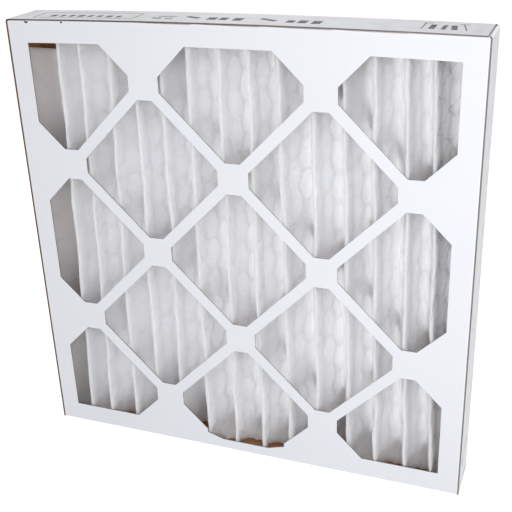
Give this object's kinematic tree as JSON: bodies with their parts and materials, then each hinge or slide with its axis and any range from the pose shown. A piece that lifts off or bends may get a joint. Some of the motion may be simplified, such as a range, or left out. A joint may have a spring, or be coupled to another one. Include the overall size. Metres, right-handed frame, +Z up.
{
  "type": "pleated panel air filter",
  "caption": "Square pleated panel air filter: folded board trays with die-cut diamond faces hold a pleated nonwoven blanket backed by expanded metal.",
  "frame": {"origin": "centre of the bottom edge, at half the depth", "axes": "+X to the right, +Y from the front lattice face to the rear one, +Z up"},
  "size_m": [0.3938, 0.0444, 0.3959],
  "materials": {
    "coated_board": "clay-coated white outside, raw kraft brown inside and at the cut edges",
    "nonwoven_media": "matte, fibrous",
    "galvanised_mesh": "satin"
  },
  "bodies": {
    "root": {"front_frame": "coated_board", "rear_frame": "coated_board", "pleated_media": "nonwoven_media", "support_grid": "galvanised_mesh"}
  },
  "joints": []
}
